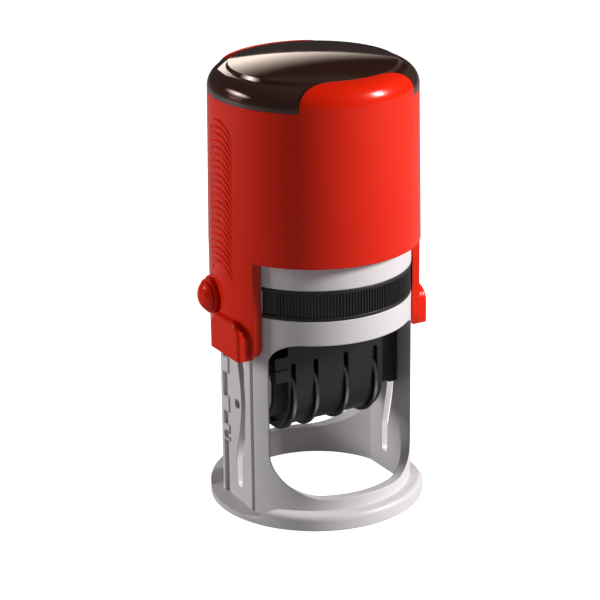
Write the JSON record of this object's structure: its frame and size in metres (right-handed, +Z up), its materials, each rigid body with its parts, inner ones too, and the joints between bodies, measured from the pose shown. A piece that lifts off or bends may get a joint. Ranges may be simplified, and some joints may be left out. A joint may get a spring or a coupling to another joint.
{
  "type": "rotary date stamp",
  "caption": "Self-inking round date stamp: a sprung housing pressed over a windowed frame turns the inked platen and its date bands over onto the paper.",
  "frame": {"origin": "on the ground under the middle of the base ring", "axes": "+Z up along the press stroke, -Y towards the user (pad cassette's front), platen axis along X"},
  "size_m": [0.0546, 0.05, 0.1045],
  "materials": {
    "red": "satin moulded, lightly orange-peeled",
    "grey": "satin moulded",
    "black": "fine matte",
    "black_wheel": "matte, toothed rim",
    "smoke": "polished clear, smoked",
    "card": "uncoated",
    "felt": "inked felt",
    "foam": "closed-cell foam",
    "die_rubber": "laser-cut rubber",
    "band_rubber": "moulded rubber",
    "steel": "drawn",
    "steel_plate": "stamped sheet"
  },
  "bodies": {
    "frame": {"frame": "grey", "main_spring": "steel"},
    "cassette": {"pad_cassette": "black", "ink_pad": "felt"},
    "housing": {"housing": "red", "index_card": "card", "button_spring_left": "steel", "button_spring_right": "steel"},
    "cap": {"index_cap": "smoke"},
    "button_left": {"lock_button_left": "red"},
    "button_right": {"lock_button_right": "red"},
    "platen": {"platen": "black", "plate_cushion": "foam", "text_plate": "die_rubber", "crank_left": "black", "crank_right": "black", "date_casing": "black", "band_bridge": "black", "wheel_shaft": "steel", "wheel_cheek_left": "steel_plate", "wheel_cheek_right": "steel_plate", "date_band_1": "band_rubber", "date_band_2": "band_rubber", "date_band_3": "band_rubber", "date_band_4": "band_rubber"},
    "wheel_1": {"thumbwheel_1": "black_wheel"},
    "wheel_2": {"thumbwheel_2": "black_wheel"},
    "wheel_3": {"thumbwheel_3": "black_wheel"},
    "wheel_4": {"thumbwheel_4": "black_wheel"}
  },
  "joints": [
    {"name": "press", "type": "slide", "parent": "frame", "child": "housing", "axis": [0, 0, -1], "range_m": [0, 0.035], "stiffness_N_per_m": 300, "springref_m": -0.02, "deforming": ["main_spring"]},
    {"name": "platen_flip", "type": "hinge", "parent": "housing", "child": "platen", "pos_m": [0, 0, 0.0438], "axis": [-1, 0, 0], "range_deg": [0, 180]},
    {"name": "cassette_slide", "type": "slide", "parent": "frame", "child": "cassette", "axis": [0, 1, 0], "range_m": [-0.05, 0]},
    {"name": "cap_lift", "type": "slide", "parent": "housing", "child": "cap", "axis": [0, 0, 1], "range_m": [0, 0.02]},
    {"name": "button_left_press", "type": "slide", "parent": "housing", "child": "button_left", "axis": [1, 0, 0], "range_m": [0, 0.001], "stiffness_N_per_m": 300, "springref_m": -0.002, "deforming": ["button_spring_left"]},
    {"name": "button_right_press", "type": "slide", "parent": "housing", "child": "button_right", "axis": [-1, 0, 0], "range_m": [0, 0.001], "stiffness_N_per_m": 300, "springref_m": -0.002, "deforming": ["button_spring_right"]},
    {"name": "wheel_1_spin", "type": "hinge", "parent": "platen", "child": "wheel_1", "pos_m": [0, 0, 0.0277], "axis": [1, 0, 0], "continuous": true},
    {"name": "wheel_2_spin", "type": "hinge", "parent": "platen", "child": "wheel_2", "pos_m": [0, 0, 0.0277], "axis": [1, 0, 0], "continuous": true},
    {"name": "wheel_3_spin", "type": "hinge", "parent": "platen", "child": "wheel_3", "pos_m": [0, 0, 0.0277], "axis": [1, 0, 0], "continuous": true},
    {"name": "wheel_4_spin", "type": "hinge", "parent": "platen", "child": "wheel_4", "pos_m": [0, 0, 0.0277], "axis": [1, 0, 0], "continuous": true}
  ],
  "couplings": [
    {"joint": "platen_flip", "follows": "press", "rad_per_m": 89.75}
  ]
}
